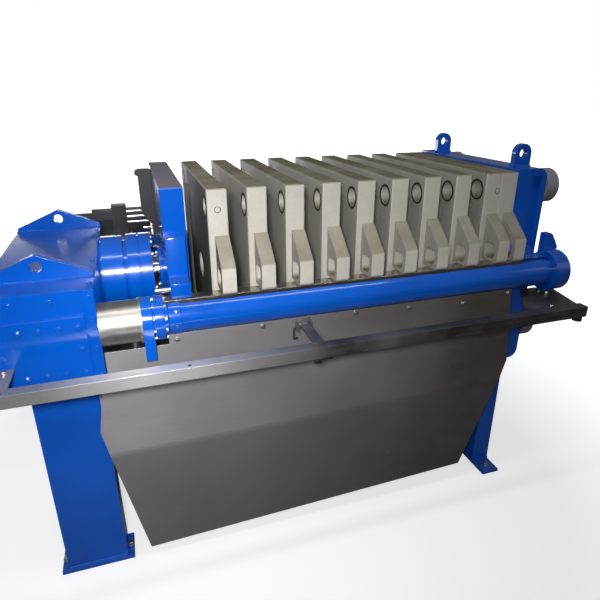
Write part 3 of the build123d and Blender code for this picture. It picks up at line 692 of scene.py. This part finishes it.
def scatter(name, template, places, body, material, slot):
    """Join one copy of a template at every place into one piece."""
    stock = bpy.data.meshes.new("stock")
    template.to_mesh(stock)
    template.free()
    shape = bmesh.new()
    for place in places:
        start = len(shape.verts)
        shape.from_mesh(stock)
        shape.verts.ensure_lookup_table()
        bmesh.ops.transform(shape, matrix=place, verts=shape.verts[start:])
    bpy.data.meshes.remove(stock)
    return finished(name, shape, body, material, slot)


# What most small pieces wear: a finish, paired with the name of a material slot
painted, bright = (frame_blue, "blue_paint"), (bolt_steel, "bright_steel")
black, sheet = (dull_black, "black_paint"), (rail_steel, "stainless_sheet")
print("piece helpers ready")

# %% [markdown]
# The bolted joints of the drive head come first. Each cover has a row of bolts along its top and its bottom, and
# the thick end plate beside it is held by small screws with a round head. The rows on the covers are measured
# from the covers' own box, so they follow when the covers change.

# %% Bolts of the drive head
low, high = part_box("drive_covers")
row_inset = 0.0185
columns = [low[0] + row_inset + share * (high[0] - low[0] - 2 * row_inset) / 4 for share in range(5)]
cover_places = [(x, high[1], z, outwards) for x in columns for z in (low[2] + 0.022, high[2] - 0.028)]
cover_places += [(x, high[1], (low[2] + high[2]) / 2, outwards) for x in (columns[0], columns[-1])]
scatter("cover_bolts", bolt(0.013, 0.0055), both_ways(cover_places), "press_frame", *painted)

low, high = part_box("drive_head")
end_plate_x = high[0] - 0.0125
edge_places = [(end_plate_x, high[1], z, outwards) for z in (0.738, 0.820, 0.905, 0.968)]
edge_places += [(x, high[1] - 0.008, 0.962, outwards) for x in (-0.700, -0.606)]
edge_places += [(end_plate_x, y, high[2], up) for y in (0.14, 0.22, 0.36)]
scatter("end_plate_screws", socket_screw(0.006, 0.004), both_ways(edge_places), "press_frame", *painted)
print(f"{len(cover_places)} bolts on each cover, {len(edge_places)} screws on each side of the end plate")

# %% [markdown]
# A ring of bolts couples each bar to its load sleeve. A collar sits on the bar behind the flange, with a shallow
# neck and a ring of small screws, and the rim of the sleeve has such screws too. Stacked discs could make the
# collar, but turning one outline gives its neck and its chamfers in one closed shape.

# %% Couplings of the bars
bar_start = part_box("side_bar_front")[0][0]
coupling = []
for side in sides_of_press:
    coupling += ring_of((bar_start, side * bar_y, bar_z), to_head, 0.0562, 10, 0.3)
scatter("flange_bolts", bolt(0.0115, 0.007, washer=False), coupling, "press_frame", *bright)
shanks = bmesh.new()
disc(shanks, 0.0042, -0.034, -0.024, 10)
scatter("flange_shanks", shanks, coupling, "press_frame", *bright)

bore, neck, outside, length = 0.0488, 0.0494, 0.053, 0.0445
outline = [(bore, 0.0), (neck, 0.0), (neck, 0.009), (outside, 0.011), (outside, 0.043)]
outline += [(0.052, length), (bore, length)]
collars = [facing((bar_start, side * bar_y, bar_z), to_head) for side in sides_of_press]
scatter("bar_collars", turned(outline), collars, "press_frame", *painted)
collar_screws = round_bars(bar_start + 0.030, outside, 8, 10)
scatter("collar_screws", socket_screw(0.0035, 0.0012), collar_screws, "press_frame", *bright)
sleeve_screws = round_bars(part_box("load_sleeves")[1][0] - 0.004, 0.064, 6, 25)
scatter("sleeve_screws", socket_screw(0.0032, 0.0016), sleeve_screws, "press_frame", *bright)
print(f"{len(coupling)} bolts on the bar flanges, {len(collar_screws) + len(sleeve_screws)} small screws")

# %% [markdown]
# The seal ring closes the cylinder where the piston rod comes out, so its screws are the largest. At the other
# end, a ring bolted to the follower holds the nose of the rod. It moves with the follower, so it can't share a
# piece with the seal ring's screws.

# %% Rings of the cylinder and the rod
seal_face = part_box("cylinder_barrel")[1][0]
seal_ring = ring_of((seal_face, 0, axis_z), to_head, 0.108, 12, 0.26)
scatter("seal_ring_screws", socket_screw(0.0065, 0.007), seal_ring, "press_frame", *bright)

follower_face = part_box("follower")[0][0]
outline = [(0.0453, 0.0), (0.0453, 0.012), (0.074, 0.012), (0.076, 0.010), (0.076, 0.0)]
scatter("rod_nose_ring", turned(outline), [facing((follower_face, 0, axis_z), to_drive)], "follower", *painted)
nose_ring = ring_of((follower_face - 0.012, 0, axis_z), to_drive, 0.061, 6, 0.4)
scatter("rod_nose_screws", socket_screw(0.0055, 0.005), nose_ring, "follower", *bright)
print(f"{len(seal_ring)} screws in the seal ring, {len(nose_ring)} at the nose of the rod")

# %% [markdown]
# The follower rides on two shoes. Each is a side plate welded to the follower with a foot that stands on the wear
# rail, and a steel pin points from the foot towards the drive. The foot ends flush with the outer edge of the
# rail, where the shoe of the construction step reaches past it, so the script makes both shoes anew: an outline
# seen from the end of the press, pulled to the shoe's length. The stroke block at the back has a thin black plate
# behind its rods.

# %% Shoes of the follower
def add_plate(shape, corners, pull):
    """Add a flat outline and pull it into a closed plate."""
    face = shape.faces.new([shape.verts.new(corner) for corner in corners])
    pulled = bmesh.ops.extrude_face_region(shape, geom=[face], use_keep_orig=True)
    moved = [item for item in pulled["geom"] if isinstance(item, bmesh.types.BMVert)]
    bmesh.ops.translate(shape, vec=pull, verts=moved)


rail_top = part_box("wear_rails")[1][2]
sole = rail_top + 0.0004
shoe_length = 0.0565
outline = [(0.284, 0.0), (0.386, 0.0), (0.386, 0.043), (0.322, 0.043), (0.322, 0.156), (0.284, 0.156)]
pins = []
for side, name in ((-1, "front"), (1, "back")):
    shape = bmesh.new()
    add_plate(shape, [(follower_face, side * y, sole + z) for y, z in outline], (shoe_length, 0, 0))
    bmesh.ops.recalc_face_normals(shape, faces=shape.faces[:])
    soften(shape, shape.edges[:], 0.0025)
    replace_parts(finished(f"shoe_{name}", shape, "follower", *painted), f"follower_shoe_{name}")
    pins.append(facing((follower_face, side * bar_y, rail_top + 0.025), to_drive))
pin = bmesh.new()
disc(pin, 0.0075, -0.004, 0.042, 24)
scatter("shoe_pins", pin, pins, "follower", rod_steel, "bright_steel")
back_plate = bmesh.new()
block(back_plate, (-0.530, 0.386, 0.925), (-0.316, 0.391, 1.031), 0.001)
finished("stroke_back_plate", back_plate, "press_frame", *black)
print("shoes stand on the rails at", round(rail_top, 4))

# %% [markdown]
# At the head end, the pipe flanges have threaded holes and the round nuts have holes for a hook spanner. Holes
# this small are drawn as dark discs let into the face, which are painted shade for the inside of each hole. The feet
# are held to the floor by bolts.

# %% Holes of the head end and bolts of the feet
port_face, feed_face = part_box("port_flanges")[1][0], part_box("feed_flange")[1][0]
flange_hole_shade = []
for y, z in ports:
    flange_hole_shade += ring_of((port_face, y, z), to_head, 0.043, 4, math.radians(45))
flange_hole_shade += ring_of((feed_face, 0, axis_z), to_head, 0.061, 8, math.radians(22.5))
scatter("flange_hole_shade", plug(0.0058), flange_hole_shade, "press_frame", *black)
spanner_hole_shade = round_bars(1.004, 0.0692, 4, 45)
scatter("spanner_hole_shade", plug(0.0075), spanner_hole_shade, "press_frame", *black)

foot_top = 0.012
foot_places = [(x, y, foot_top, up) for x, y in ((0.894, 0.338), (-0.7218, 0.302), (-0.5168, 0.302))]
scatter("foot_bolts", bolt(0.016, 0.009, thread=0.008), both_ways(foot_places), "press_frame", *bright)
print(f"{len(flange_hole_shade)} flange holes, {len(spanner_hole_shade)} spanner holes, {2 * len(foot_places)} foot bolts")

# %% [markdown]
# Flat plates tie the square rails to the fixed head and to the drive head. At the head end they reach further
# towards the drive than those of the construction step, so the script makes all four anew, from one outline that
# is mirrored across the press. A few bolts hold them.

# %% Flat ties of the rails
low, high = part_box("tie_plates")
tie_low, tie_top = low[2], high[2]
rail_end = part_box("square_rail_front")[1]
rail_right, rail_inner = rail_end[0], -rail_end[1]
cover_start, cover_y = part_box("drive_covers")[0][0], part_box("drive_covers")[1][1]
drive_tie_length, tie_bevel = 0.042, 0.0008
head_tie = [(0.776, rail_inner), (0.846, 0.438), (0.91325, 0.342), (0.97225, 0.342), (1.03425, 0.360)]
head_tie.append((rail_right, rail_inner))
ties = bmesh.new()
for side in sides_of_press:
    add_plate(ties, [(x, side * y, tie_low) for x, y in head_tie], (0, 0, tie_top - tie_low))
bmesh.ops.recalc_face_normals(ties, faces=ties.faces[:])
soften(ties, ties.edges[:], tie_bevel)
for side in sides_of_press:
    near, far = between(side, cover_y, rail_inner)
    block(ties, (cover_start, near, tie_low), (cover_start + drive_tie_length, far, tie_top), tie_bevel)
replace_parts(finished("flat_ties", ties, "press_frame", *sheet), "tie_plates")

tie_places = [(0.962, 0.378), (0.990, 0.372), (0.975, 0.402), (0.899, 0.512), (0.985, 0.512)]
tie_places += [(-0.736, 0.432), (-0.736, 0.505)]
tie_places = [(x, y, tie_top, up) for x, y in tie_places]
scatter("tie_bolts", bolt(0.013, 0.006), both_ways(tie_places), "press_frame", *bright)
print(f"{2 * len(tie_places)} tie bolts")

# %% [markdown]
# The chute hangs by bolts just under the bars. A clip with two bolts holds the strap to the chute wall, and a
# bent hook beside it carries nothing here. The clip is a plate with two ears, so three blocks make it, and the
# hook is two short rods that meet.

# %% Bolts, clips and hooks of the chute
def add_disc(shape, place, radius, height, sides):
    """Add an upright cylinder and move it to its place."""
    start = len(shape.verts)
    disc(shape, radius, 0.0, height, sides)
    shape.verts.ensure_lookup_table()
    bmesh.ops.transform(shape, matrix=place, verts=shape.verts[start:])


wall_y, clip_thickness = 0.403, 0.004
wall_places = [(-0.054, 0.818), (0.243, 0.820), (0.634, 0.802), (0.808, 0.818), (-0.300, 0.812), (0.430, 0.812)]
wall_bolts = [(x, wall_y, z, outwards) for x, z in wall_places]
scatter("chute_bolts", bolt(0.012, 0.006), both_ways(wall_bolts), "press_frame", *bright)

clips, hooks = bmesh.new(), bmesh.new()
for side in sides_of_press:
    near, far = between(side, wall_y, wall_y + clip_thickness)
    block(clips, (0.044, near, 0.790), (0.092, far, 0.826), 0.001)
    near, far = between(side, wall_y + 0.003, wall_y + 0.030)
    for x in (0.046, 0.087):
        block(clips, (x, near, 0.792), (x + 0.003, far, 0.824), 0.0008)
    add_disc(hooks, facing((0.041, side * (wall_y + 0.006), 0.800), (-0.12, side * 0.25, -1)), 0.003, 0.034, 10)
    add_disc(hooks, facing((0.0375, side * (wall_y + 0.0135), 0.768), (0.5, side * 0.8, 0.5)), 0.003, 0.016, 10)
finished("strap_clips", clips, "press_frame", *sheet)
finished("hooks", hooks, "press_frame", *black)
clip_bolts = [(x, wall_y + clip_thickness, 0.806, outwards) for x in (0.059, 0.077)]
scatter("clip_bolts", bolt(0.010, 0.005), both_ways(clip_bolts), "press_frame", *bright)
print(f"{2 * len(wall_bolts)} chute bolts, {2 * len(clip_bolts)} clip bolts")

# %% [markdown]
# A flat latch and a round stop hang under each square rail. The top of the rail has a hole every 44 cm, and
# plastic plugs close its ends. All are no longer than a thumb, so softened blocks and discs are enough.

# %% Latches, stops and plugs of the rails
latches, stops, plugs = bmesh.new(), bmesh.new(), bmesh.new()
for side in sides_of_press:
    near, far = between(side, 0.538, 0.551)
    block(latches, (0.074, near, 0.757), (0.112, far, 0.771), 0.003)
    block(latches, (0.056, near, 0.748), (0.079, far, 0.763), 0.004)
    add_disc(stops, Matrix.Translation((0.982, side * 0.5445, 0.7515)), 0.015, 0.018, 24)
    near, far = between(side, 0.5305, 0.5585)
    block(plugs, (-0.7775, near, 0.7725), (-0.765, far, 0.8005), 0.002)
    block(plugs, (0.9875, near, 0.7725), (0.9995, far, 0.8005), 0.002)
finished("latches", latches, "press_frame", *black)
finished("rail_stops", stops, "press_frame", *black)
finished("rail_plugs", plugs, "press_frame", *black)
# The holes in the rail tops are dark discs too, painted shade for the inside of each hole.
rail_hole_shade = [(x, 0.5495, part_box("square_rail_front")[1][2], up) for x in (-0.724, -0.285, 0.154, 0.593)]
scatter("rail_hole_shade", plug(0.005), both_ways(rail_hole_shade), "press_frame", *black)
print(f"{2 * len(rail_hole_shade)} rail holes")

# %% [markdown]
# Every plate has a black rubber ring round each corner port on its drive side. The rings seal the filtrate
# channel when the plates are closed, and each one moves with its own plate. The last plate stands still against
# the tail plate, so its rings ride on the frame. The ring is turned with a flat top and sloped sides, because a
# round one would look like a loose cord. Two plates also show a test plug on their edge.

# %% Seals and plugs of the plates
def carrier(number):
    """The body that a plate rides on."""
    return f"plate_{number}" if number < 9 else "press_frame"


outline = [(0.0288, -0.0028), (0.0281, 0.0), (0.0290, 0.0015), (0.0340, 0.0015), (0.0350, 0.0), (0.0340, -0.0028)]
for number in range(1, 10):
    drive_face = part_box(f"filter_plate_{number}")[0][0]
    places = [facing((drive_face, y, z), to_drive) for y, z in ports]
    scatter(f"seals_{number}", turned(outline, 36), places, carrier(number), *black)

for number, x in ((1, -0.1528), (9, 0.776)):
    places = [facing((x, side * 0.315, 1.150), (0, side, 0)) for side in sides_of_press]
    button = bmesh.new()
    disc(button, 0.0075, -0.002, 0.0012, 24)
    scatter(f"test_plugs_{number}", button, places, carrier(number), plate_beige, "plate_polymer")
    groove = turned([(0.0074, -0.001), (0.0074, 0.0004), (0.0092, 0.0004), (0.0092, -0.001)], 24)
    scatter(f"plug_rings_{number}", groove, places, carrier(number), *black)
print(f"{9 * len(ports)} port seals on 9 plates")

# %% [markdown]
# The frame is welded from thick plate. A bead is a row of small overlapping drops, which gives the rippled look
# of a weld made in one slow pass, and the paint goes over it. A tube along the joint would be lighter, but smooth.

# %% Places along a bead
bead_step = 0.0045


def bead(start, end):
    """Places in a row between two points."""
    start, end = Vector(start), Vector(end)
    count = max(2, round((end - start).length / bead_step))
    return [Matrix.Translation(start.lerp(end, index / count)) for index in range(count + 1)]


def bead_round(low, high, z):
    """Places round a level rectangle."""
    corners = [(low[0], low[1], z), (high[0], low[1], z), (high[0], high[1], z), (low[0], high[1], z)]
    return [place for pair in zip(corners, corners[1:] + corners[:1]) for place in bead(*pair)]


def bead_circle(x, y, z, radius):
    """Places round an upright circle that faces along the press."""
    count = round(math.tau * radius / bead_step)
    angles = [math.tau * index / count for index in range(count)]
    return [Matrix.Translation((x, y + radius * math.cos(a), z + radius * math.sin(a))) for a in angles]


def drop(radius):
    """One drop of a bead."""
    shape = bmesh.new()
    bmesh.ops.create_icosphere(shape, subdivisions=1, radius=radius)
    return shape


print("bead helpers ready")

# %% [markdown]
# The legs are welded all round, on their foot plates and under the heads, and so are the lifting lugs. A round
# bead closes the joint where the cylinder leaves the drive head. Legs and lugs meet their plates in level
# rectangles, so a bead round a rectangle serves them all.

# %% Lay the weld beads
leg_beads, lug_beads = [], []
for side in sides_of_press:
    near, far = between(side, 0.219, 0.299)
    for z in (0.4985, 0.0135):
        leg_beads += bead_round((0.85825, near), (0.93025, far), z)
    near, far = between(side, 0.262, 0.342)
    for z in (0.7185, 0.0135):
        leg_beads += bead_round((-0.71175, near), (-0.52675, far), z)
    near, far = between(side, 0.231, 0.253)
    lug_beads += bead_round((0.88125, near), (0.94525, far), 1.2170)
    near, far = between(side, 0.280, 0.300)
    lug_beads += bead_round((-0.77675, near), (-0.50075, far), 0.9880)
barrel_beads = bead_circle(-0.4978, 0, axis_z, 0.109)
scatter("leg_welds", drop(0.0045), leg_beads, "press_frame", *painted)
scatter("lug_welds", drop(0.004), lug_beads, "press_frame", *painted)
scatter("barrel_weld", drop(0.004), barrel_beads, "press_frame", *painted)
print(f"{len(leg_beads) + len(lug_beads) + len(barrel_beads)} drops of weld")

# %% [markdown]
# The floor is there only to catch the shadow. The camera sees it almost white, fading to the white of the world
# a few metres out, so that no horizon shows. All other rays see a dull grey hall floor, which keeps the
# underside of the chute dark.

# %% Lay the floor
floor_mesh = bpy.data.meshes.new("floor")
shape = bmesh.new()
bmesh.ops.create_grid(shape, x_segments=1, y_segments=1, size=30)
shape.to_mesh(floor_mesh)
shape.free()
floor = bpy.data.objects.new("floor", floor_mesh)
scene.collection.objects.link(floor)
pale = bpy.data.materials.new("floor_pale")
pale.use_nodes = True
tree = pale.node_tree
tree.nodes.clear()
rays = tree.nodes.new("ShaderNodeLightPath")
seen_by_camera = rays.outputs["Is Camera Ray"]
cloth = tree.nodes.new("ShaderNodeBsdfDiffuse")
joined(tree, mixed(tree, seen_by_camera, (0.22, 0.21, 0.20), (0.9, 0.9, 0.9)), cloth.inputs["Color"])
glow = tree.nodes.new("ShaderNodeEmission")
glow.inputs["Color"].default_value = (1, 1, 1, 1)
glow.inputs["Strength"].default_value = 1.35
where = tree.nodes.new("ShaderNodeTexCoord")
reach = tree.nodes.new("ShaderNodeVectorMath")
reach.operation = "LENGTH"
joined(tree, where.outputs["Object"], reach.inputs[0])
fade = spread(tree, reach.outputs["Value"], 1.2, 2.6, 0.45, 1.0)
blend = tree.nodes.new("ShaderNodeMixShader")
joined(tree, math_node(tree, "MULTIPLY", seen_by_camera, fade), blend.inputs["Fac"])
joined(tree, cloth.outputs[0], blend.inputs[1])
joined(tree, glow.outputs[0], blend.inputs[2])
surface = tree.nodes.new("ShaderNodeOutputMaterial")
joined(tree, blend.outputs[0], surface.inputs["Surface"])
floor_mesh.materials.append(pale)
print("floor laid")
